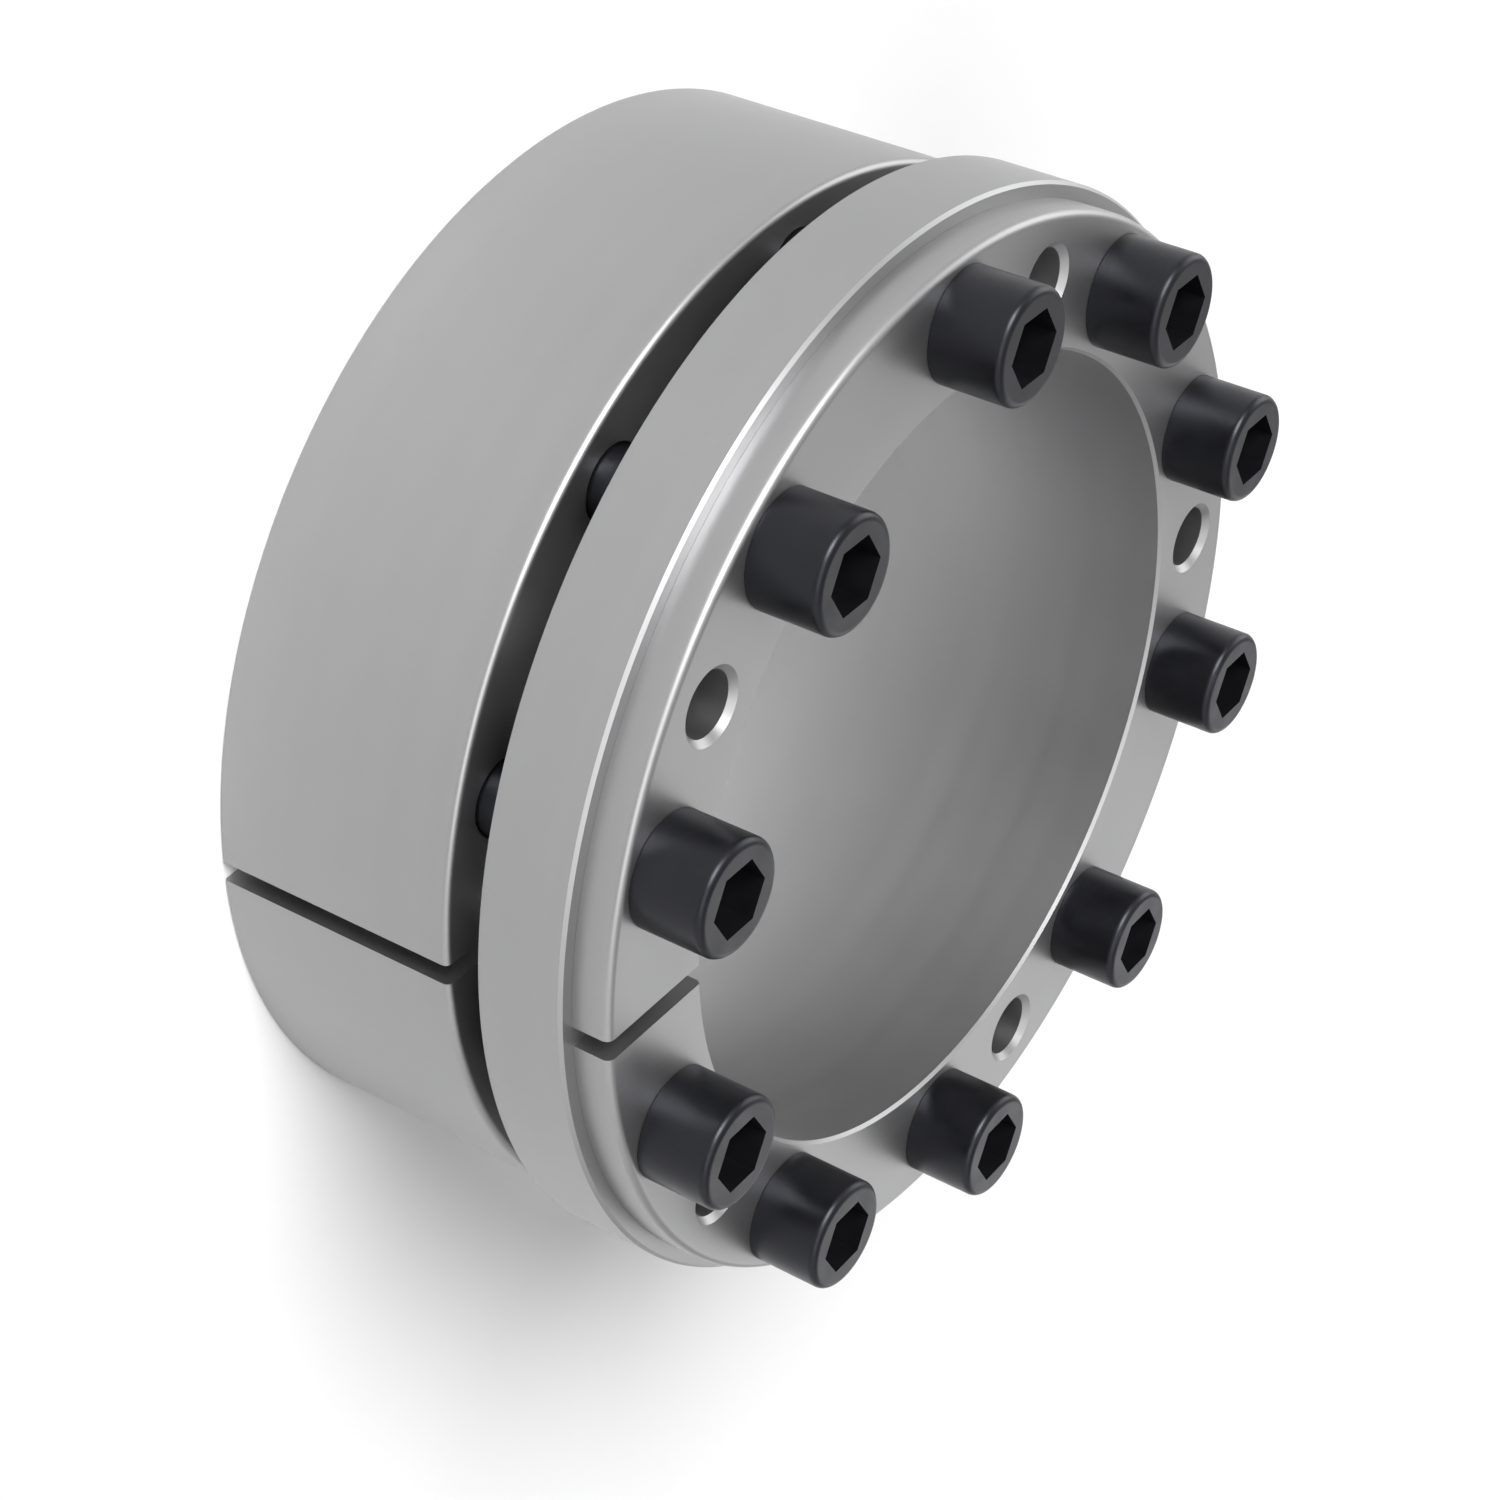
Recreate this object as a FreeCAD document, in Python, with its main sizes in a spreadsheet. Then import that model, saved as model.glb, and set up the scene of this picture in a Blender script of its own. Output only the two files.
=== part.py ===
import FreeCAD, Part
import os
import Sketcher

# Keyless locking assembly for a 150 mm shaft in a 200 mm hub bore.
# A slit inner ring with a flange, a slit outer ring with the matching conical bore, a closed
# spacer ring between them and ten socket head screws that draw the two cones together.
# Z runs along the ring's axis towards the screw heads; the rear face stands at Z = 0.

os.makedirs("parts", exist_ok=True)

SIZES = {
    # shaft and radial build-up, from the bore outwards
    "bore_dia": 150,
    "tail_wall": 1.8,
    "neck_wall": 3.8,
    "neck_clearance": 0.3,
    "spacer_web": 0.9,
    "rim_wall": 5,
    "hub_stop_step": 3,
    # lengths along the axis, from the rear face to the front
    "outer_length": 50,
    "draw_gap": 9,
    "spacer_thickness": 17,
    "flange_thickness": 7.5,
    "tail_setback": 1,
    # clamping screws and the holes that take them
    "screw_count": 10,
    "thread_dia": 14,
    "thread_pitch": 2,
    "screw_length": 60,
    "head_dia": 21,
    "head_height": 14,
    "head_round": 1.4,
    "socket_width": 12,
    "socket_depth": 7,
    "socket_land": 0.2,
    "socket_point_depth": 3,
    "tip_chamfer": 1.1,
    "through_clearance": 0.5,
    "thread_play": 0.05,
    "thread_chamfer": 0.45,
    "jack_chamfer": 1.15,
    # slit, cone fit and edges
    "slit_width": 4,
    "cone_clearance": 0.03,
    "flange_round": 1.5,
    "ring_round": 1.3,
    "rear_chamfer": 0.5,
    "bore_chamfer": 0.6,
    "spacer_chamfer": 0.6,
    "root_round": 0.6,
    "root_relief": 1,
}


def size(name):
    """the expression that reads one value of the size sheet"""
    return f"sizes.{name}"


# Radii, built up from the bore
BORE = f"({size('bore_dia')} / 2)"
TAIL = f"({BORE} + {size('tail_wall')})"
NECK = f"({BORE} + {size('neck_wall')})"
SPACER_BORE = f"({NECK} + {size('neck_clearance')})"
THREAD = f"({size('thread_dia')} / 2)"
THREAD_CORE = f"({THREAD} - {size('thread_pitch')} / 2)"
THREADED_HOLE = f"({THREAD} + {size('thread_play')})"
THROUGH_HOLE = f"({THREAD} + {size('through_clearance')})"
SCREW_CIRCLE = f"({SPACER_BORE} + {size('spacer_web')} + {THROUGH_HOLE})"
RIM = f"({SCREW_CIRCLE} + {THROUGH_HOLE} + {size('rim_wall')})"
STOP_RIM = f"({RIM} + {size('hub_stop_step')})"

# Heights, built up from the rear face
OUTER_FRONT = size("outer_length")
SPACER_BACK = f"({OUTER_FRONT} + {size('draw_gap')})"
FLANGE_BACK = f"({SPACER_BACK} + {size('spacer_thickness')})"
FLANGE_FRONT = f"({FLANGE_BACK} + {size('flange_thickness')})"
TAIL_END = size("tail_setback")

# The cone widens evenly from the tail end to the spacer's back face
CONE_SLOPE = f"(({size('neck_wall')} - {size('tail_wall')}) / ({SPACER_BACK} - {TAIL_END}))"

# The slit lies midway between two screws, and the push-off holes between the next ones
SCREW_STEP = f"(360 / {size('screw_count')})"
JACK_COUNT = f"floor({size('screw_count')} / 2)"
FIRST_SCREW = f"({SCREW_STEP} / 2)"
FIRST_JACK = SCREW_STEP

# How far a cutting profile runs past the face that it opens
OVERCUT = 2

doc = FreeCAD.newDocument("locking_assembly")


def make_sheet():
    sheet = doc.addObject("Spreadsheet::Sheet", "sizes")
    for row, (name, value) in enumerate(SIZES.items(), start=1):
        sheet.set(f"A{row}", name)
        sheet.set(f"B{row}", str(value))
        sheet.setAlias(f"B{row}", name)
    doc.recompute()
    return sheet


def value_of(expression):
    """the plain number that an expression on the size sheet gives"""
    return float(sizes.evalExpression(str(expression)))


def outer_cone(height):
    """radius of the inner ring's cone at this height"""
    return f"({NECK} - ({SPACER_BACK} - {height}) * {CONE_SLOPE})"


def inner_cone(height):
    """radius of the outer ring's conical bore at this height, clear of the cone by the fit"""
    return f"({outer_cone(height)} + {size('cone_clearance')})"


def new_body(name):
    body = doc.addObject("PartDesign::Body", name)
    body.Label = name
    return body


def origin_part(body, role):
    return next(part for part in body.Origin.OriginFeatures if part.Role == role)


def new_sketch(body, name, plane):
    sketch = body.newObject("Sketcher::SketchObject", name)
    sketch.AttachmentSupport = [(origin_part(body, plane), "")]
    sketch.MapMode = "FlatFace"
    return sketch


def bind(sketch, kind, geometry, point, expression):
    """ties one coordinate of a sketch point to an expression, or puts the point on the axis"""
    if expression == 0:
        horizontal, vertical = -1, -2
        axis = vertical if kind == "DistanceX" else horizontal
        sketch.addConstraint(Sketcher.Constraint("PointOnObject", geometry, point, axis))
        return
    number = value_of(expression)
    index = sketch.addConstraint(Sketcher.Constraint(kind, geometry, point, number))
    sketch.setExpression(f"Constraints[{index}]", str(expression))


def draw_outline(sketch, corners):
    """a closed outline of straight sides whose corners are tied to expressions"""
    points = [FreeCAD.Vector(value_of(x), value_of(y), 0) for x, y in corners]
    for start, end in zip(points, points[1:] + points[:1]):
        sketch.addGeometry(Part.LineSegment(start, end), False)
    for side in range(len(points)):
        following = (side + 1) % len(points)
        sketch.addConstraint(Sketcher.Constraint("Coincident", side, 2, following, 1))
    for side, (x, y) in enumerate(corners):
        bind(sketch, "DistanceX", side, 1, x)
        bind(sketch, "DistanceY", side, 1, y)


def turned(body, name, corners):
    """a solid of revolution about Z, from corners given as radius and height"""
    sketch = new_sketch(body, name + "_profile", "XZ_Plane")
    draw_outline(sketch, corners)
    turning = body.newObject("PartDesign::Revolution", name)
    turning.Profile = sketch
    turning.ReferenceAxis = (sketch, ["V_Axis"])
    turning.Angle = 360
    doc.recompute()
    return turning


def grooved(body, name, corners):
    """cuts away what a profile of radius and height sweeps about Z"""
    sketch = new_sketch(body, name + "_profile", "XZ_Plane")
    draw_outline(sketch, corners)
    groove = body.newObject("PartDesign::Groove", name)
    groove.Profile = sketch
    groove.ReferenceAxis = (sketch, ["V_Axis"])
    groove.Angle = 360
    doc.recompute()
    return groove


def rim_edges(feature, radius, height):
    """names of the round edges about Z with this radius and height"""
    wanted = (value_of(radius), value_of(height))
    names = []
    for number, edge in enumerate(feature.Shape.Edges, start=1):
        curve = edge.Curve
        if not isinstance(curve, Part.Circle):
            continue
        found = (curve.Radius, curve.Center.z)
        if max(abs(a - b) for a, b in zip(found, wanted)) < 1e-4:
            names.append(f"Edge{number}")
    return names


def rounded(body, base, name, radius, height, amount):
    fillet = body.newObject("PartDesign::Fillet", name)
    fillet.Base = (base, rim_edges(base, radius, height))
    fillet.setExpression("Radius", amount)
    doc.recompute()
    return fillet


def chamfered(body, base, name, radius, height, amount):
    chamfer = body.newObject("PartDesign::Chamfer", name)
    chamfer.Base = (base, rim_edges(base, radius, height))
    chamfer.setExpression("Size", amount)
    doc.recompute()
    return chamfer


def pocketed(body, name, corners, depth=None, level=None):
    """cuts a straight-sided outline through the whole body, or downwards from one level"""
    sketch = new_sketch(body, name + "_outline", "XY_Plane")
    draw_outline(sketch, corners)
    pocket = body.newObject("PartDesign::Pocket", name)
    pocket.Profile = sketch
    if depth is None:
        pocket.Type = "ThroughAll"
        pocket.SideType = "Symmetric"
    else:
        sketch.setExpression("AttachmentOffset.Base.z", level)
        pocket.Type = "Length"
        pocket.setExpression("Length", depth)
    doc.recompute()
    return pocket


def slit(body):
    """a slot from the bore out through the rim on the +X side"""
    half = f"({size('slit_width')} / 2)"
    reach = f"({STOP_RIM} + {OVERCUT})"
    corners = [(0, f"-{half}"), (reach, f"-{half}"), (reach, half), (0, half)]
    return pocketed(body, "slit", corners)


def drilled(body, name, corners, first_angle, count, spread=360):
    """a ring of equal holes on the screw circle, each turned from a profile of radius and height"""
    sketch = new_sketch(body, name + "_profile", "XZ_Plane")
    turn = FreeCAD.Rotation(FreeCAD.Vector(0, 1, 0), value_of(first_angle))
    sketch.AttachmentOffset = FreeCAD.Placement(FreeCAD.Vector(0, 0, 0), turn)
    sketch.setExpression("AttachmentOffset.Base.x", f"{SCREW_CIRCLE} * cos({first_angle} * 1deg)")
    sketch.setExpression("AttachmentOffset.Base.z", f"-{SCREW_CIRCLE} * sin({first_angle} * 1deg)")
    sketch.setExpression("AttachmentOffset.Rotation.Angle", f"{first_angle} * 1deg")
    draw_outline(sketch, corners)
    hole = body.newObject("PartDesign::Groove", name)
    hole.Profile = sketch
    hole.ReferenceAxis = (sketch, ["V_Axis"])
    hole.Angle = 360
    doc.recompute()
    pattern = body.newObject("PartDesign::PolarPattern", name + "_ring")
    pattern.Originals = [hole]
    pattern.Axis = (origin_part(body, "Z_Axis"), [""])
    pattern.setExpression("Angle", f"{spread} * 1deg")
    pattern.setExpression("Occurrences", count)
    body.Tip = pattern
    doc.recompute()
    return pattern


def plain_hole(radius, low, high):
    """profile of a straight hole that runs past both faces"""
    bottom = f"({low} - {OVERCUT})"
    top = f"({high} + {OVERCUT})"
    return [(0, bottom), (radius, bottom), (radius, top), (0, top)]


def countersunk_hole(radius, low, high, chamfer, both_ends):
    """profile of a hole with a 45 degree countersink at its front, or at both its faces"""
    bottom = f"({low} - {OVERCUT})"
    top = f"({high} + {OVERCUT})"
    mouth = f"({radius} + {chamfer} + {OVERCUT})"
    corners = [(0, top), (0, bottom)]
    if both_ends:
        corners += [(mouth, bottom), (radius, f"({low} + {chamfer})")]
    else:
        corners += [(radius, bottom)]
    return corners + [(radius, f"({high} - {chamfer})"), (mouth, top)]


def make_inner_ring():
    body = new_body("inner_ring")
    ring = turned(body, "inner_turning", [
        (BORE, TAIL_END),
        (TAIL, TAIL_END),
        (NECK, SPACER_BACK),
        (NECK, FLANGE_BACK),
        (RIM, FLANGE_BACK),
        (RIM, FLANGE_FRONT),
        (BORE, FLANGE_FRONT),
    ])
    ring = rounded(body, ring, "flange_edge", RIM, FLANGE_FRONT, size("flange_round"))
    ring = rounded(body, ring, "flange_root", NECK, FLANGE_BACK, size("root_round"))
    ring = chamfered(body, ring, "bore_front", BORE, FLANGE_FRONT, size("bore_chamfer"))
    chamfered(body, ring, "bore_rear", BORE, TAIL_END, size("bore_chamfer"))
    drilled(body, "screw_hole", plain_hole(THROUGH_HOLE, FLANGE_BACK, FLANGE_FRONT), FIRST_SCREW,
            size("screw_count"))
    jack_profile = countersunk_hole(THREAD_CORE, FLANGE_BACK, FLANGE_FRONT, size("jack_chamfer"), False)
    drilled(body, "jack_hole", jack_profile, FIRST_JACK, JACK_COUNT, f"(2 * {SCREW_STEP} * {JACK_COUNT})")
    slit(body)
    return body


def make_outer_ring():
    body = new_body("outer_ring")
    ring = turned(body, "outer_turning", [
        (inner_cone("0"), 0),
        (RIM, 0),
        (RIM, OUTER_FRONT),
        (inner_cone(OUTER_FRONT), OUTER_FRONT),
    ])
    ring = rounded(body, ring, "front_edge", RIM, OUTER_FRONT, size("ring_round"))
    ring = chamfered(body, ring, "rear_edge", RIM, 0, size("rear_chamfer"))
    chamfered(body, ring, "cone_mouth", inner_cone(OUTER_FRONT), OUTER_FRONT, size("rear_chamfer"))
    thread_profile = countersunk_hole(THREADED_HOLE, "0", OUTER_FRONT, size("thread_chamfer"), True)
    drilled(body, "threaded_hole", thread_profile, FIRST_SCREW, size("screw_count"))
    slit(body)
    return body


def make_spacer_ring():
    body = new_body("spacer_ring")
    ring = turned(body, "spacer_turning", [
        (SPACER_BORE, SPACER_BACK),
        (STOP_RIM, SPACER_BACK),
        (STOP_RIM, FLANGE_BACK),
        (SPACER_BORE, FLANGE_BACK),
    ])
    ring = chamfered(body, ring, "front_rim", STOP_RIM, FLANGE_BACK, size("spacer_chamfer"))
    chamfered(body, ring, "root_clearance", SPACER_BORE, FLANGE_BACK, size("root_relief"))
    through = plain_hole(THROUGH_HOLE, SPACER_BACK, FLANGE_BACK)
    drilled(body, "screw_passage", through, FIRST_SCREW, size("screw_count"))
    drilled(body, "jack_passage", through, FIRST_JACK, JACK_COUNT, f"(2 * {SCREW_STEP} * {JACK_COUNT})")
    return body


def hexagon(width):
    """corners of a hexagon of this width across flats, with one corner on the X axis"""
    side = f"({width} / (2 * cos(30deg)))"
    half_side = f"({side} / 2)"
    half_width = f"({width} / 2)"
    return [
        (side, 0),
        (half_side, half_width),
        (f"-{half_side}", half_width),
        (f"-{side}", 0),
        (f"-{half_side}", f"-{half_width}"),
        (half_side, f"-{half_width}"),
    ]


def make_screw(number):
    """one socket head screw, turned about its own axis with the head's seat at its own Z = 0"""
    body = new_body(f"clamp_screw_{number:02d}")
    tip = f"({THREAD} - {size('tip_chamfer')})"
    head = f"({size('head_dia')} / 2)"
    length = size("screw_length")
    screw = turned(body, f"screw_turning_{number:02d}", [
        (0, f"-{length}"),
        (tip, f"-{length}"),
        (THREAD, f"(-{length} + {size('tip_chamfer')})"),
        (THREAD, 0),
        (head, 0),
        (head, size("head_height")),
        (0, size("head_height")),
    ])
    rounded(body, screw, f"head_rim_{number:02d}", head, size("head_height"), size("head_round"))
    pocketed(body, f"socket_{number:02d}", hexagon(size("socket_width")), size("socket_depth"),
             size("head_height"))
    socket_floor = f"({size('head_height')} - {size('socket_depth')})"
    socket_point = [
        (0, f"({socket_floor} - {size('socket_point_depth')})"),
        (f"({size('socket_width')} / 2 - {size('socket_land')})", socket_floor),
        (0, socket_floor),
    ]
    grooved(body, f"socket_point_{number:02d}", socket_point)
    angle = f"(({number} - 0.5) * {SCREW_STEP} * 1deg)"
    body.setExpression("Placement.Base.x", f"{SCREW_CIRCLE} * cos({angle})")
    body.setExpression("Placement.Base.y", f"{SCREW_CIRCLE} * sin({angle})")
    body.setExpression("Placement.Base.z", FLANGE_FRONT)
    return body


def check_and_write(bodies):
    """stops at any failed feature, and otherwise writes each piece to its own file"""
    for item in doc.Objects:
        if "Invalid" in item.State or "Error" in item.State:
            raise RuntimeError(f"{item.Name} did not build: {item.State}")
    for body in bodies:
        shape = body.Shape
        if shape.isNull() or not shape.isValid() or len(shape.Solids) != 1:
            raise RuntimeError(f"{body.Label} is not one valid solid")
        shape.exportStep(f"parts/{body.Label}.step")
        print(f"{body.Label}: {shape.Volume / 1000:.2f} cm3, {len(shape.Faces)} faces")


sizes = make_sheet()
pieces = [make_inner_ring(), make_outer_ring(), make_spacer_ring()]
pieces += [make_screw(number) for number in range(1, SIZES["screw_count"] + 1)]
doc.recompute()
check_and_write(pieces)
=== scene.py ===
import math

import bmesh
import bpy
import numpy as np
from mathutils import Matrix, Vector


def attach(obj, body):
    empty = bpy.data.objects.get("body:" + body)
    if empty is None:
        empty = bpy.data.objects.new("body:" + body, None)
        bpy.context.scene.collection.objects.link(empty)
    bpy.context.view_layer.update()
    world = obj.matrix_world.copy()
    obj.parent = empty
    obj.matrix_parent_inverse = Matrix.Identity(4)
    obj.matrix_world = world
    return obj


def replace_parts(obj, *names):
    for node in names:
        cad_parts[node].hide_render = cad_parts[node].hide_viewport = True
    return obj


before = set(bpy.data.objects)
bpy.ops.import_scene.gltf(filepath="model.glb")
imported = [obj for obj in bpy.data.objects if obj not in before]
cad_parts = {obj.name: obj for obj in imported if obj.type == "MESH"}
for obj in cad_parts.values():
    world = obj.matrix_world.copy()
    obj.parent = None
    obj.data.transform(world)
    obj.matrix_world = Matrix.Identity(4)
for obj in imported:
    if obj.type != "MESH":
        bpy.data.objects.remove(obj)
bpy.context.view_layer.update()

# Keyless locking assembly: slit cone rings in satin turned steel and ten black socket head screws.
# Lengths are in metres. Z is the ring's axis, from the rear face at 0 to the screw heads,
# and X runs through the slits.

weldDistance = 2e-7               # points nearer than this are one point


def meshFromGrids(name, grids, outlines=()):
    # One quad between each four neighbours of every grid of points, and one flat face inside each
    # outline. Points that meet, at seams, poles and borders, are welded, which closes the shell.
    points, faces, count = [], [], 0
    for x, y, z in grids:
        rows, columns = x.shape
        index = count + np.arange(rows * columns).reshape(rows, columns)
        quads = np.stack([index[:-1, :-1], index[1:, :-1], index[1:, 1:], index[:-1, 1:]], -1)
        points.append(np.stack([x, y, z], -1).reshape(-1, 3))
        faces += quads.reshape(-1, 4).tolist()
        count += rows * columns
    for outline in outlines:
        points.append(outline)
        faces.append(list(range(count, count + len(outline))))
        count += len(outline)
    mesh = bpy.data.meshes.new(name)
    mesh.from_pydata(np.vstack(points).tolist(), [], faces)
    shell = bmesh.new()
    shell.from_mesh(mesh)
    bmesh.ops.remove_doubles(shell, verts=shell.verts, dist=weldDistance)
    bmesh.ops.dissolve_degenerate(shell, edges=shell.edges, dist=weldDistance)
    bmesh.ops.recalc_face_normals(shell, faces=shell.faces)
    shell.to_mesh(mesh)
    shell.free()
    return mesh


def shadeByAngle(mesh, degrees):
    # Smooth faces, with every edge that turns by more than this angle kept sharp.
    mesh.shade_smooth()
    mesh.set_sharp_from_angle(angle=math.radians(degrees))


def placedCopy(mesh, name, place):
    # The same mesh moved by one vector: every point p becomes p + place.
    copy = mesh.copy()
    copy.name = name
    points = np.empty(len(copy.vertices) * 3)
    copy.vertices.foreach_get("co", points)
    copy.vertices.foreach_set("co", (points.reshape(-1, 3) + np.array(place)).ravel())
    copy.update()
    return copy


def addPiece(mesh, body, material):
    # Puts a mesh in the scene as one piece, with its material and on its body.
    piece = bpy.data.objects.new(mesh.name, mesh)
    bpy.context.scene.collection.objects.link(piece)
    mesh.materials.clear()
    mesh.materials.append(material)
    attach(piece, body)
    return piece


def newMaterial(name):
    # A material with an empty node tree.
    material = bpy.data.materials.new(name)
    material.use_nodes = True
    tree = material.node_tree
    tree.nodes.clear()
    return material, tree


def addNode(tree, kind, inputs=None, **settings):
    # A node with its settings; an input given as a socket is linked, and otherwise set.
    node = tree.nodes.new(kind)
    for key, value in settings.items():
        setattr(node, key, value)
    for key, value in (inputs or {}).items():
        if isinstance(value, bpy.types.NodeSocket):
            tree.links.new(value, node.inputs[key])
        else:
            node.inputs[key].default_value = value
    return node


def noiseOf(tree, place, spec):
    # A noise whose blobs are about as wide as the spec says: scale = 1 / width.
    return addNode(tree, "ShaderNodeTexNoise", {"Vector": place, "Scale": 1 / spec["width"],
                                                "Detail": spec["octaves"],
                                                "Roughness": spec["share"]}).outputs[0]


noiseLow, noiseHigh = 0.3, 0.7    # nearly all values of a noise lie between these


def spreadAbout(tree, value, layers, middle, spread):
    # Maps a sum of this many noises evenly to middle - spread up to middle + spread.
    return addNode(tree, "ShaderNodeMapRange", {"Value": value,
                                                "From Min": layers * noiseLow,
                                                "From Max": layers * noiseHigh,
                                                "To Min": middle - spread,
                                                "To Max": middle + spread}).outputs[0]


# In each noise, width is that of its largest blobs, octaves how many finer ones lie over them,
# and share how much of each is left in the next.
ringSteel = {
    "colour": (0.356, 0.356, 0.36),
    "colourSpread": 0.03,         # share by which the grey varies over the rings
    "roughness": 0.42,
    "roughnessSpread": 0.03,
    "feedMarks": {"width": 0.00035, "octaves": 2.0, "share": 0.6},
    "markDepth": 0.000004,
    "markStrength": 0.25,
    "bands": {"width": 0.006, "octaves": 3.0, "share": 0.5},      # broad, barely seen turning bands
    "clouds": {"width": 0.035, "octaves": 4.0, "share": 0.55},
}


def makeRingSteel(name):
    # Turned steel: noise is read at (distance from the axis, height), so it is the same all
    # round and forms the concentric feed marks that a lathe leaves on faces and rims alike.
    spec = ringSteel
    material, tree = newMaterial(name)
    place = addNode(tree, "ShaderNodeTexCoord").outputs["Object"]
    apart = addNode(tree, "ShaderNodeSeparateXYZ", {0: place})
    flat = addNode(tree, "ShaderNodeCombineXYZ", {0: apart.outputs[0], 1: apart.outputs[1]})
    radius = addNode(tree, "ShaderNodeVectorMath", {0: flat.outputs[0]}, operation="LENGTH")
    profile = addNode(tree, "ShaderNodeCombineXYZ", {0: radius.outputs["Value"], 2: apart.outputs[2]})
    marks = noiseOf(tree, profile.outputs[0], spec["feedMarks"])
    bands = noiseOf(tree, profile.outputs[0], spec["bands"])
    clouds = noiseOf(tree, place, spec["clouds"])
    mixed = addNode(tree, "ShaderNodeMath", {0: bands, 1: clouds}).outputs[0]
    tint = spreadAbout(tree, mixed, 2, 1, spec["colourSpread"])
    colour = addNode(tree, "ShaderNodeVectorMath", {0: spec["colour"], "Scale": tint}, operation="SCALE")
    rough = spreadAbout(tree, mixed, 2, spec["roughness"], spec["roughnessSpread"])
    bump = addNode(tree, "ShaderNodeBump", {"Height": marks, "Strength": spec["markStrength"],
                                            "Distance": spec["markDepth"]})
    shader = addNode(tree, "ShaderNodeBsdfPrincipled", {"Base Color": colour.outputs[0], "Metallic": 1.0,
                                                        "Roughness": rough, "Normal": bump.outputs[0]})
    addNode(tree, "ShaderNodeOutputMaterial", {"Surface": shader.outputs[0]})
    return material


screwBlack = {
    "colour": (0.004, 0.004, 0.005),
    "colourSpread": 0.12,         # share by which the black varies over a screw
    "roughness": 0.36,
    "roughnessSpread": 0.05,
    "gloss": 0.35,
    "glossTint": (0.86, 0.88, 1.0, 1.0),
    "grain": {"width": 0.0006, "octaves": 3.0, "share": 0.6},     # of the oxide skin
    "grainDepth": 0.000006,
    "grainStrength": 0.2,
    "clouds": {"width": 0.006, "octaves": 3.0, "share": 0.5},
}


def makeScrewBlack(name):
    # Black oxide on forged steel: a dark skin with fine grain, a little bluish in its gloss.
    spec = screwBlack
    material, tree = newMaterial(name)
    place = addNode(tree, "ShaderNodeTexCoord").outputs["Object"]
    grain = noiseOf(tree, place, spec["grain"])
    clouds = noiseOf(tree, place, spec["clouds"])
    tint = spreadAbout(tree, clouds, 1, 1, spec["colourSpread"])
    colour = addNode(tree, "ShaderNodeVectorMath", {0: spec["colour"], "Scale": tint}, operation="SCALE")
    rough = spreadAbout(tree, clouds, 1, spec["roughness"], spec["roughnessSpread"])
    bump = addNode(tree, "ShaderNodeBump", {"Height": grain, "Strength": spec["grainStrength"],
                                            "Distance": spec["grainDepth"]})
    shader = addNode(tree, "ShaderNodeBsdfPrincipled", {"Base Color": colour.outputs[0],
                                                        "Roughness": rough,
                                                        "Specular IOR Level": spec["gloss"],
                                                        "Specular Tint": spec["glossTint"],
                                                        "Normal": bump.outputs[0]})
    addNode(tree, "ShaderNodeOutputMaterial", {"Surface": shader.outputs[0]})
    return material


ringSpec = {
    "sectors": 20,                # each with one hole or none in its middle
    "sectorSteps": 24,            # columns over one sector
    "radialSteps": 16,            # steps across a pierced face
    "holeSteps": 5,               # rows from a hole's edge out to the border of its sector
    "circleRadius": 0.0875,       # of the screws and the push-off holes
    "slitHalf": 0.002,            # half the width of both slits
    "support": 0.0001,            # narrow row that keeps a wall straight beside its rounding
    "roundSteps": 12,
    "sharpAngle": 30.0,           # edges that turn by more, in degrees, stay sharp
}


def columnAngles(radius, slitHalf):
    # Angles of all columns, for each radius: even steps, but beside the slit they start where its
    # wall, at asin(half width / radius), cuts that radius and even out within half a sector.
    spec = ringSpec
    even = np.linspace(0, 2 * math.pi, spec["sectors"] * spec["sectorSteps"] + 1)[None, :]
    edge = np.arcsin(slitHalf / np.asarray(radius))[:, None]
    reach = math.pi / spec["sectors"]
    near = np.clip(1 - even / reach, 0, 1)
    far = np.clip(1 - (2 * math.pi - even) / reach, 0, 1)
    return even + edge * (near - far)


def turnedGrid(profile, slitHalf):
    # A profile of radius and height carried round the axis: x = r cos t, y = r sin t.
    profile = np.asarray(profile, float)
    angle = columnAngles(profile[:, 0], slitHalf)
    radius = profile[:, :1]
    return radius * np.cos(angle), radius * np.sin(angle), profile[:, 1:] + 0 * angle


def roundedCorner(centre, radius, start, end, steps):
    # Points of an arc: r = centre r + radius cos a, z = centre z + radius sin a.
    angle = np.radians(np.linspace(start, end, steps + 1))
    return list(zip(centre[0] + radius * np.cos(angle), centre[1] + radius * np.sin(angle)))


def sectorBorder(inner, outer):
    # Once round one sector: along its inner arc, out along one side, back along the outer arc
    # and in along the other side, as radius and angle from the sector's middle.
    spec = ringSpec
    half = math.pi / spec["sectors"]
    along = np.linspace(-half, half, spec["sectorSteps"] + 1)
    across = np.linspace(inner, outer, spec["radialSteps"] + 1)
    radius = np.concatenate([np.full(spec["sectorSteps"], inner), across[:-1],
                             np.full(spec["sectorSteps"], outer), across[::-1]])
    angle = np.concatenate([along[:-1], np.full(spec["radialSteps"], half), along[::-1][:-1],
                            np.full(spec["radialSteps"] + 1, -half)])
    return radius, angle


def holeCircle(radius, middle):
    # A hole's edge on the screw circle, with as many even steps as the border of its sector has,
    # from the direction of the sector's first corner and round the same way.
    spec = ringSpec
    steps = 2 * (spec["sectorSteps"] + spec["radialSteps"])
    first = math.pi + math.pi * spec["sectorSteps"] / steps
    angle = middle + first - np.linspace(0, 2 * math.pi, steps + 1)
    return (spec["circleRadius"] * math.cos(middle) + radius * np.cos(angle),
            spec["circleRadius"] * math.sin(middle) + radius * np.sin(angle))


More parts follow.
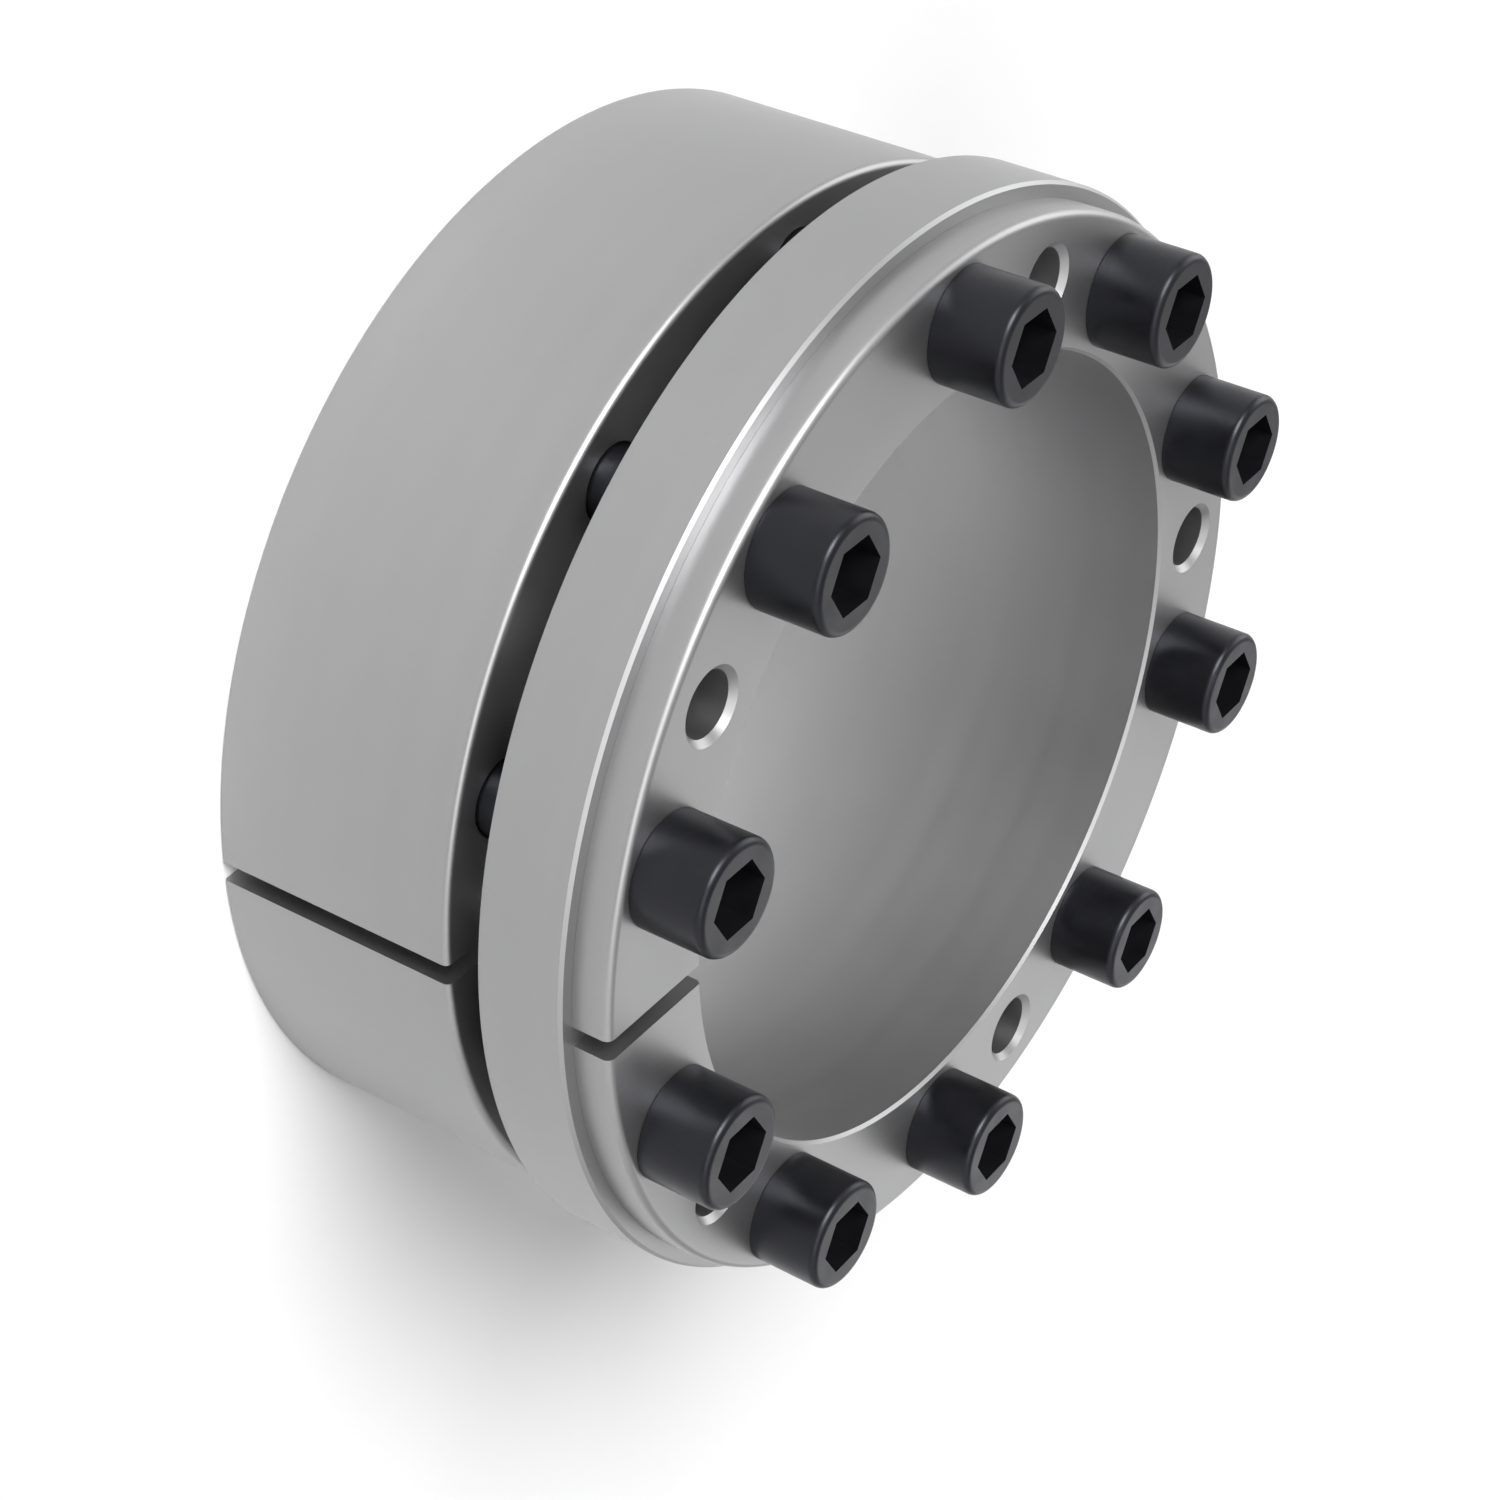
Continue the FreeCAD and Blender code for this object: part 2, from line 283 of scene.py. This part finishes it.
def piercedSector(inner, outer, height, holeRadius, middle):
    # Straight lines from a hole's edge to the border of its sector: p = edge + v (border - edge).
    radius, angle = sectorBorder(inner, outer)
    borderX, borderY = radius * np.cos(middle + angle), radius * np.sin(middle + angle)
    edgeX, edgeY = holeCircle(holeRadius, middle)
    v = np.linspace(0, 1, ringSpec["holeSteps"] + 1)[:, None]
    x = edgeX + v * (borderX - edgeX)
    y = edgeY + v * (borderY - edgeY)
    return x, y, np.full_like(x, height)


def piercedFace(inner, outer, height, holes, slitHalf):
    # A flat ring of sectors, with straight rows and columns where a sector has no hole.
    spec = ringSpec
    steps, turn = spec["sectorSteps"], 2 * math.pi / spec["sectors"]
    radii = np.linspace(inner, outer, spec["radialSteps"] + 1)
    plain = turnedGrid(np.stack([radii, np.full_like(radii, height)], -1), slitHalf)
    grids = []
    for sector in range(spec["sectors"] + 1):
        first = max(sector * steps - steps // 2, 0)
        last = min(sector * steps + steps // 2, spec["sectors"] * steps)
        if sector in holes:
            grids.append(piercedSector(inner, outer, height, holes[sector], sector * turn))
        else:
            grids.append([axis[:, first:last + 1] for axis in plain])
    return grids


def holeWall(profile, middle):
    # A hole's own profile of radius and height carried round its axis on the screw circle.
    edges = [holeCircle(radius, middle) for radius, _ in profile]
    x = np.array([edge[0] for edge in edges])
    y = np.array([edge[1] for edge in edges])
    return x, y, np.array([height for _, height in profile])[:, None] + 0 * x


def makeRing(name, body, spec, material):
    # One closed shell: two walls turned about the axis, two pierced faces between them, the walls
    # of the holes, and where the ring is slit, its section as a flat face on each side of the cut.
    slitHalf = spec["slitHalf"]
    outerWall, innerWall, holes = spec["outerWall"], spec["innerWall"], spec["holes"]
    front = innerWall[0][0], outerWall[-1][0], outerWall[-1][1]
    rear = innerWall[-1][0], outerWall[0][0], outerWall[0][1]
    grids = [turnedGrid(outerWall, slitHalf), turnedGrid(innerWall, slitHalf)]
    grids += piercedFace(*front, {sector: profile[0][0] for sector, profile in holes.items()}, slitHalf)
    grids += piercedFace(*rear, {sector: profile[-1][0] for sector, profile in holes.items()}, slitHalf)
    turn = 2 * math.pi / ringSpec["sectors"]
    grids += [holeWall(profile, sector * turn) for sector, profile in holes.items()]
    outlines = []
    if slitHalf:
        across = np.linspace(0, 1, ringSpec["radialSteps"] + 1)[1:-1]
        section = outerWall + [(front[1] + v * (front[0] - front[1]), front[2]) for v in across]
        section += innerWall + [(rear[0] + v * (rear[1] - rear[0]), rear[2]) for v in across]
        x, y, z = turnedGrid(section, slitHalf)
        outlines = [np.stack([x[:, side], y[:, side], z[:, side]], -1) for side in (0, -1)]
    mesh = meshFromGrids(name, grids, outlines)
    shadeByAngle(mesh, ringSpec["sharpAngle"])
    print(name, len(mesh.polygons), "faces")
    return addPiece(mesh, body, material)


# Which sectors hold a screw and which a push-off hole; the slit runs down the middle of sector 0.
screwSectors = range(1, ringSpec["sectors"], 2)
jackSectors = range(2, ringSpec["sectors"], 4)

innerRing = {
    "bore": 0.075,
    "boreChamfer": 0.0006,
    "rear": 0.001,                # height of its rear end
    "tail": 0.0768,               # radius of the cone there
    "coneEnd": 0.059,             # height at which the cone meets the neck
    "neck": 0.0788,
    "back": 0.076,                # heights of the flange's two faces
    "front": 0.0835,
    "rim": 0.100,
    "rimRound": 0.0015,
    "rootRound": 0.0006,
    "edgeBreak": 0.00003,         # so fine that no groove shows against the spacer ring
    "screwHole": 0.0075,
    "jackHole": 0.006,
    "jackChamfer": 0.00115,
}


def innerRingShape():
    # Bore, cone, neck and flange: 45 degree chamfers at the bore's ends and arcs at the flange's
    # front edge and root.
    s, near, steps = innerRing, ringSpec["support"], ringSpec["roundSteps"]
    rimCentre = s["rim"] - s["rimRound"], s["front"] - s["rimRound"]
    rootCentre = s["neck"] + s["rootRound"], s["back"] - s["rootRound"]
    slope = (s["neck"] - s["tail"]) / (s["coneEnd"] - s["rear"])
    outerWall = [(s["rim"] - s["edgeBreak"], s["back"]), (s["rim"], s["back"] + s["edgeBreak"]),
                 (s["rim"], rimCentre[1] - near)]
    outerWall += roundedCorner(rimCentre, s["rimRound"], 0, 90, steps)
    outerWall += [(rimCentre[0] - near, s["front"])]
    innerWall = [(s["bore"] + s["boreChamfer"], s["front"]), (s["bore"], s["front"] - s["boreChamfer"]),
                 (s["bore"], s["rear"] + s["boreChamfer"]), (s["bore"] + s["boreChamfer"], s["rear"]),
                 (s["tail"], s["rear"]), (s["neck"] - slope * near, s["coneEnd"] - near),
                 (s["neck"], s["coneEnd"]), (s["neck"], s["coneEnd"] + near),
                 (s["neck"], rootCentre[1] - near)]
    innerWall += roundedCorner(rootCentre, s["rootRound"], 180, 90, steps // 2)
    innerWall += [(rootCentre[0] + near, s["back"])]
    jack = [(s["jackHole"] + s["jackChamfer"], s["front"]), (s["jackHole"], s["front"] - s["jackChamfer"]),
            (s["jackHole"], s["back"])]
    screw = [(s["screwHole"], s["front"]), (s["screwHole"], s["back"])]
    holes = {**dict.fromkeys(screwSectors, screw), **dict.fromkeys(jackSectors, jack)}
    return {"outerWall": outerWall, "innerWall": innerWall, "holes": holes,
            "slitHalf": ringSpec["slitHalf"]}


outerRing = {
    "rim": 0.100,
    "length": 0.050,
    "rearBore": 0.0767955,        # both are the inner ring's cone and 0.03 mm of running gap
    "frontBore": 0.0785197,
    "rimRound": 0.0013,
    "chamfer": 0.0005,
    "hole": 0.00705,
    "holeChamfer": 0.00045,
}


def outerRingShape():
    # A plain outside with an arc at its front edge and a chamfer at the rear, and a conical bore.
    s, near, steps = outerRing, ringSpec["support"], ringSpec["roundSteps"]
    rimCentre = s["rim"] - s["rimRound"], s["length"] - s["rimRound"]
    outerWall = [(s["rim"] - s["chamfer"], 0), (s["rim"], s["chamfer"]), (s["rim"], rimCentre[1] - near)]
    outerWall += roundedCorner(rimCentre, s["rimRound"], 0, 90, steps)
    outerWall += [(rimCentre[0] - near, s["length"])]
    slope = (s["frontBore"] - s["rearBore"]) / s["length"]
    innerWall = [(s["frontBore"] + s["chamfer"], s["length"]),
                 (s["frontBore"] - slope * s["chamfer"], s["length"] - s["chamfer"]), (s["rearBore"], 0)]
    hole, chamfer = s["hole"], s["holeChamfer"]
    profile = [(hole + chamfer, s["length"]), (hole, s["length"] - chamfer),
               (hole, chamfer), (hole + chamfer, 0)]
    return {"outerWall": outerWall, "innerWall": innerWall, "holes": dict.fromkeys(screwSectors, profile),
            "slitHalf": ringSpec["slitHalf"]}


spacerRing = {
    "bore": 0.0791,
    "relief": 0.001,              # chamfer of the bore that clears the flange's root
    "rim": 0.103,
    "rimChamfer": 0.0006,
    "edgeBreak": 0.0001,
    "back": 0.059,
    "front": innerRing["back"],
    "hole": 0.0075,
}


def spacerRingShape():
    # A closed ring with a chamfer at its front rim and one that clears the flange's root.
    s = spacerRing
    outerWall = [(s["rim"] - s["edgeBreak"], s["back"]), (s["rim"], s["back"] + s["edgeBreak"]),
                 (s["rim"], s["front"] - s["rimChamfer"]), (s["rim"] - s["rimChamfer"], s["front"])]
    innerWall = [(s["bore"] + s["relief"], s["front"]), (s["bore"], s["front"] - s["relief"]),
                 (s["bore"], s["back"])]
    passage = [(s["hole"], s["front"]), (s["hole"], s["back"])]
    return {"outerWall": outerWall, "innerWall": innerWall,
            "holes": dict.fromkeys([*screwSectors, *jackSectors], passage), "slitHalf": 0.0}


def makeRings(material):
    # Each ring's own shell takes the place of its solid and rides on the same body.
    for node, body, shape in (("inner_ring", "inner_ring", innerRingShape()),
                              ("outer_ring", "outer_ring", outerRingShape()),
                              ("spacer_ring", "inner_ring", spacerRingShape())):
        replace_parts(makeRing(node + "_turned", body, shape, material), node)


screwSpec = {
    "count": 10,
    "circleRadius": ringSpec["circleRadius"],
    "firstAngle": 18.0,
    "seatHeight": innerRing["front"],
    "headRadius": 0.0105,
    "headHeight": 0.014,
    "headRound": 0.0014,
    "roundSteps": 10,
    "edgeBreak": 0.00015,         # fine bevel where the head meets its seat
    "socketWidth": 0.012,
    "socketDepth": 0.007,
    "pointRadius": 0.0058,        # drill point at the bottom of the socket
    "pointDepth": 0.003,
    "threadRadius": 0.007,
    "rootRadius": 0.0058,
    "pitch": 0.002,
    "threadPhase": (0, 1 / 8, 7 / 16, 11 / 16),     # crest from and to, root from and to, in turns
    "plainLength": innerRing["front"] - outerRing["length"],
    "length": 0.060,
    "tipChamfer": 0.0011,
    "columns": 72,
    "sharpAngle": 38.0,
}


def hexRadius(angle, width):
    # Distance from the centre to the side of a hexagon that has corners at multiples of 60 degrees:
    # half the width across flats over the cosine of the angle from the middle of that side.
    third = math.radians(60)
    return width / 2 / np.cos(np.mod(angle, third) - third / 2)


def headRows(spec, angle):
    # Rows from the point of the socket, up its six walls, out over the top and down the head:
    # the top edge is a quarter circle, r = flat + round sin(a), z = top - round + round cos(a).
    top = spec["headHeight"]
    bottom = top - spec["socketDepth"]
    edge = spec["headRound"]
    flat = spec["headRadius"] - edge
    hexagon = hexRadius(angle, spec["socketWidth"])
    full = np.ones_like(angle)
    support = ringSpec["support"]
    rows = [(0 * full, bottom - spec["pointDepth"]), (spec["pointRadius"] * full, bottom)]
    rows += [(hexagon, bottom), (hexagon, top), ((flat - support) * full, top)]
    for a in np.linspace(0, math.pi / 2, spec["roundSteps"] + 1):
        rows.append(((flat + edge * math.sin(a)) * full, top - edge + edge * math.cos(a)))
    rows.append((spec["headRadius"] * full, top - edge - support))
    rows.append((spec["headRadius"] * full, spec["edgeBreak"]))
    rows.append(((spec["headRadius"] - spec["edgeBreak"]) * full, 0.0))
    rows.append((spec["threadRadius"] * full, 0.0))
    radii = np.array([r for r, _ in rows])
    heights = np.array([z for _, z in rows])[:, None] * full
    return radii, heights


def threadRows(spec, angle):
    # A right-hand thread: row f of turn n lies at z = start - pitch (n + f) + pitch angle / 2 pi,
    # with straight flanks between the crest and the root. Rows above the run-out or below the tip
    # are cut off there, and the tip's cone trims the rest.
    pitch = spec["pitch"]
    start = -spec["plainLength"]
    end = -spec["length"]
    turns = math.ceil((start - end) / pitch) + 2      # two to spare, as each climbs by one
    phase = np.array(spec["threadPhase"])
    crest, root = spec["threadRadius"], spec["rootRadius"]
    row = (np.arange(turns)[:, None] + phase[None, :]).ravel()
    radius = np.tile([crest, crest, root, root], turns)[:, None] * np.ones_like(angle)
    height = start - pitch * row[:, None] + pitch * angle[None, :] / (2 * math.pi)
    fade = np.clip((start - height) / pitch, 0, 1)
    radius = crest - (crest - radius) * fade
    cone = crest - spec["tipChamfer"] + (height - end)
    radius = np.clip(np.minimum(radius, cone), root, None)
    height = np.clip(height, end, start)
    return radius, height


def makeScrewMesh(name):
    # The rows of the head, the thread and the middle of the tip, from the top down, as one shell:
    # x = r cos t, y = r sin t.
    spec = screwSpec
    angle = np.linspace(0, 2 * math.pi, spec["columns"] + 1)
    headR, headZ = headRows(spec, angle)
    threadR, threadZ = threadRows(spec, angle)
    radius = np.vstack([headR, threadR, 0 * angle[None, :]])
    height = np.vstack([headZ, threadZ, -spec["length"] + 0 * angle[None, :]])
    mesh = meshFromGrids(name, [(radius * np.cos(angle), radius * np.sin(angle), height)])
    shadeByAngle(mesh, spec["sharpAngle"])
    return mesh


def screwPlaces(spec):
    # The middle of each screw's seat: (R cos a, R sin a, seat height), a in even steps round.
    turn = np.radians(spec["firstAngle"] + 360 / spec["count"] * np.arange(spec["count"]))
    return np.stack([spec["circleRadius"] * np.cos(turn), spec["circleRadius"] * np.sin(turn),
                     np.full(spec["count"], spec["seatHeight"])], -1)


def makeScrews(material):
    # One screw, copied to each place on the circle, where it takes the place of its solid.
    pattern = makeScrewMesh("screwPattern")
    for number, place in enumerate(screwPlaces(screwSpec), start=1):
        node = f"clamp_screw_{number:02d}"
        mesh = placedCopy(pattern, f"socket_screw_{number:02d}", place)
        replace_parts(addPiece(mesh, node, material), node)
    print("clamping screws:", screwSpec["count"], "with", len(pattern.polygons), "faces each")
    bpy.data.meshes.remove(pattern)


tappedSpec = {
    "length": outerRing["length"],
    "baseRadius": 0.0073,         # foot of the ridge, sunk in the wall of the plain hole
    "crestRadius": 0.00605,
    "mouthRadius": outerRing["hole"] + outerRing["holeChamfer"],      # trims it at both faces
    "mouthClearance": 0.00003,
    "endSlack": 0.0005,           # how far the ridge stays from both faces
    "phase": (0.075, 0.402, 0.7226, 1.05),    # the ridge's foot, crest from and to, and foot, in turns
    "stepsPerTurn": 48,
}


def closedRidge(rows):
    # The ridge's corners in turn and the first again, with their mean as a closing point at
    # both ends: rows = corners, columns = end, all steps, end.
    around = rows[np.append(np.arange(len(rows)), 0)]
    first, last = (np.full((len(around), 1), rows[:, end].mean()) for end in (0, -1))
    return np.hstack([first, around, last])


def makeTappedThreads(material):
    # A ridge carried up each threaded hole on a right-hand helix of the screw's pitch and phase:
    # its corners lie at z = thread start - pitch f + pitch t / 2 pi, with t the angle run through
    # and r the larger of the ridge's own radius and what the countersink leaves.
    screw, spec = screwSpec, tappedSpec
    pitch = screw["pitch"]
    start = -screw["plainLength"]
    low = -screw["seatHeight"]
    high = low + spec["length"]
    turnsLow = math.floor((low - start) / pitch)
    turnsHigh = math.ceil((high - start) / pitch) + 1
    steps = (turnsHigh - turnsLow) * spec["stepsPerTurn"]
    angle = 2 * math.pi * np.linspace(turnsLow, turnsHigh, steps + 1)
    own = np.array([spec["baseRadius"], spec["crestRadius"], spec["crestRadius"], spec["baseRadius"]])
    height = start - pitch * np.array(spec["phase"])[:, None] + pitch * angle[None, :] / (2 * math.pi)
    inside = np.minimum(height - low, high - height)
    radius = np.maximum(own[:, None], spec["mouthRadius"] + spec["mouthClearance"] - inside)
    radius = np.minimum(radius, spec["baseRadius"])
    keep = (height.min(0) > low + spec["endSlack"]) & (height.max(0) < high - spec["endSlack"])
    angle, radius, height = angle[keep], radius[:, keep], height[:, keep]
    radius, height = closedRidge(radius), closedRidge(height)
    angle = np.concatenate([angle[:1], angle, angle[-1:]])
    pattern = meshFromGrids("ridgePattern", [(radius * np.cos(angle), radius * np.sin(angle), height)])
    shell = bmesh.new()
    for place in screwPlaces(screw):
        part = placedCopy(pattern, "ridgeCopy", place)
        shell.from_mesh(part)
        bpy.data.meshes.remove(part)
    mesh = bpy.data.meshes.new("tapped_threads")
    shell.to_mesh(mesh)
    shell.free()
    bpy.data.meshes.remove(pattern)
    shadeByAngle(mesh, screw["sharpAngle"])
    addPiece(mesh, "outer_ring", material)
    print("tapped threads:", len(mesh.polygons), "faces")


def anyRay(tree, path, kinds):
    # 1 for a ray of any of these kinds and 0 for all others: the largest of their own values.
    found = path.outputs[kinds[0]]
    for kind in kinds[1:]:
        found = addNode(tree, "ShaderNodeMath", {0: found, 1: path.outputs[kind]},
                        operation="MAXIMUM").outputs[0]
    return found


floorSpec = {
    "half": 7.0,                  # half its side
    "drop": 0.00005,              # how far it lies below the rear face
    "colour": (0.81, 0.81, 0.81, 1.0),
    "lift": 0.03,                 # small even glow seen by the camera and in reflections
}


def makeFloor():
    # A plain square sheet at one height; its own colour takes the light and the shadow, and the
    # glow brings it up to white.
    spec = floorSpec
    x, y = np.meshgrid([-spec["half"], spec["half"]], [-spec["half"], spec["half"]])
    mesh = meshFromGrids("studioFloor", [(x, y, np.full_like(x, -spec["drop"]))])
    if mesh.polygons[0].normal.z < 0:
        mesh.flip_normals()
    floor = bpy.data.objects.new("studioFloor", mesh)
    bpy.context.scene.collection.objects.link(floor)
    material, tree = newMaterial("floorPaper")
    path = addNode(tree, "ShaderNodeLightPath")
    seen = anyRay(tree, path, ("Is Camera Ray", "Is Glossy Ray", "Is Transmission Ray"))
    lift = addNode(tree, "ShaderNodeMath", {0: seen, 1: spec["lift"]}, operation="MULTIPLY")
    matt = addNode(tree, "ShaderNodeBsdfDiffuse", {"Color": spec["colour"]})
    glow = addNode(tree, "ShaderNodeEmission", {"Color": (1, 1, 1, 1), "Strength": lift.outputs[0]})
    both = addNode(tree, "ShaderNodeAddShader", {0: matt.outputs[0], 1: glow.outputs[0]})
    addNode(tree, "ShaderNodeOutputMaterial", {"Surface": both.outputs[0]})
    mesh.materials.append(material)


airSpec = {
    "light": 0.05,                # what matt surfaces get from the air
    "mirrored": 0.54,             # how bright the white studio round the part is in a reflection
    "shown": 1.0,                 # how bright it is behind the part
}


def makeAir():
    # A white studio all round, of which little falls on matt surfaces:
    # strength = light + (shown - light) camera or transmission + (mirrored - light) glossy.
    spec = airSpec
    air = bpy.data.worlds.new("studioAir")
    air.use_nodes = True
    tree = air.node_tree
    tree.nodes.clear()
    path = addNode(tree, "ShaderNodeLightPath")
    straight = anyRay(tree, path, ("Is Camera Ray", "Is Transmission Ray"))
    strength = spec["light"]
    for seen, extra in ((straight, spec["shown"] - spec["light"]),
                        (path.outputs["Is Glossy Ray"], spec["mirrored"] - spec["light"])):
        strength = addNode(tree, "ShaderNodeMath", {0: seen, 1: extra, 2: strength},
                           operation="MULTIPLY_ADD").outputs[0]
    back = addNode(tree, "ShaderNodeBackground", {"Color": (1, 1, 1, 1), "Strength": strength})
    addNode(tree, "ShaderNodeOutputWorld", {"Surface": back.outputs[0]})
    bpy.context.scene.world = air


# Each lamp's azimuth and elevation in degrees, the angle of sky that it fills, and its strength.
lampSpec = {
    "keyLight": {"azimuth": 288.0, "elevation": 35.0, "angle": 32.0, "strength": 4.60},
    "lowFront": {"azimuth": 350.0, "elevation": 45.0, "angle": 40.0, "strength": 0.80},
    "nearSide": {"azimuth": 40.0, "elevation": 30.0, "angle": 60.0, "strength": 0.50},
    "farSide": {"azimuth": 195.0, "elevation": 21.0, "angle": 40.0, "strength": 0.88},
    "faceGlow": {"azimuth": 128.0, "elevation": 22.0, "angle": 34.0, "strength": 0.27},
}


def makeLight():
    # Broad soft lamps far away, each shining along the line from its azimuth and elevation:
    # direction = (cos a cos e, sin a cos e, sin e).
    for name, spec in lampSpec.items():
        lamp = bpy.data.lights.new(name, "SUN")
        lamp.energy = spec["strength"]
        lamp.angle = math.radians(spec["angle"])
        turn = math.radians(spec["azimuth"])
        rise = math.radians(spec["elevation"])
        towards = Vector((math.cos(turn) * math.cos(rise),
                          math.sin(turn) * math.cos(rise), math.sin(rise)))
        holder = bpy.data.objects.new(name, lamp)
        holder.rotation_euler = towards.to_track_quat("Z", "Y").to_euler()
        bpy.context.scene.collection.objects.link(holder)


boreLampSpec = {
    "height": 6.0,
    "reach": 0.077,               # how far from the axis its light falls
    "edge": 0.1,                  # share of the cone over which it fades
    "radius": 0.01,
    "power": 560.0,               # in watts; a spot this narrow sends out little of it
}


def makeBoreLamp():
    # A narrow round lamp high on the axis, whose cone is as wide as the bore, so that only the
    # floor and the walls in there are lit: cone angle = 2 atan(reach / height).
    spec = boreLampSpec
    lamp = bpy.data.lights.new("boreLamp", "SPOT")
    lamp.energy = spec["power"]
    lamp.spot_size = 2 * math.atan2(spec["reach"], spec["height"])
    lamp.spot_blend = spec["edge"]
    lamp.shadow_soft_size = spec["radius"]
    holder = bpy.data.objects.new("boreLamp", lamp)
    holder.location = (0, 0, spec["height"])
    bpy.context.scene.collection.objects.link(holder)


cameraSpec = {
    "place": (0.4369994, -0.3740994, 0.3545663),
    "right": (-0.58077885, 0.00622539, 0.81403758),
    "up": (-0.48155422, -0.80887545, -0.33738116),
    "lens": 85.0,
    "sensor": 36.0,
    "nearest": 0.02,
    "farthest": 60.0,
}


def makeCamera():
    # The camera's own axes as columns: right, up, and right x up, which points backwards.
    spec = cameraSpec
    right = Vector(spec["right"]).normalized()
    up = Vector(spec["up"])
    up = (up - up.dot(right) * right).normalized()
    camera = bpy.data.cameras.new("photoCamera")
    camera.lens = spec["lens"]
    camera.sensor_width = spec["sensor"]
    camera.sensor_fit = "HORIZONTAL"
    camera.clip_start = spec["nearest"]
    camera.clip_end = spec["farthest"]
    turn = Matrix((right, up, right.cross(up))).transposed().to_4x4()
    holder = bpy.data.objects.new("photoCamera", camera)
    holder.matrix_world = Matrix.Translation(spec["place"]) @ turn
    bpy.context.scene.collection.objects.link(holder)
    bpy.context.scene.camera = holder


ringMaterial = makeRingSteel("satin_turned_steel")
screwMaterial = makeScrewBlack("black_oxide_steel")
makeRings(ringMaterial)
makeScrews(screwMaterial)
makeTappedThreads(ringMaterial)
makeFloor()
makeAir()
makeLight()
makeBoreLamp()
makeCamera()
bpy.context.scene.view_settings.view_transform = "Standard"
print("floor, light and camera set")
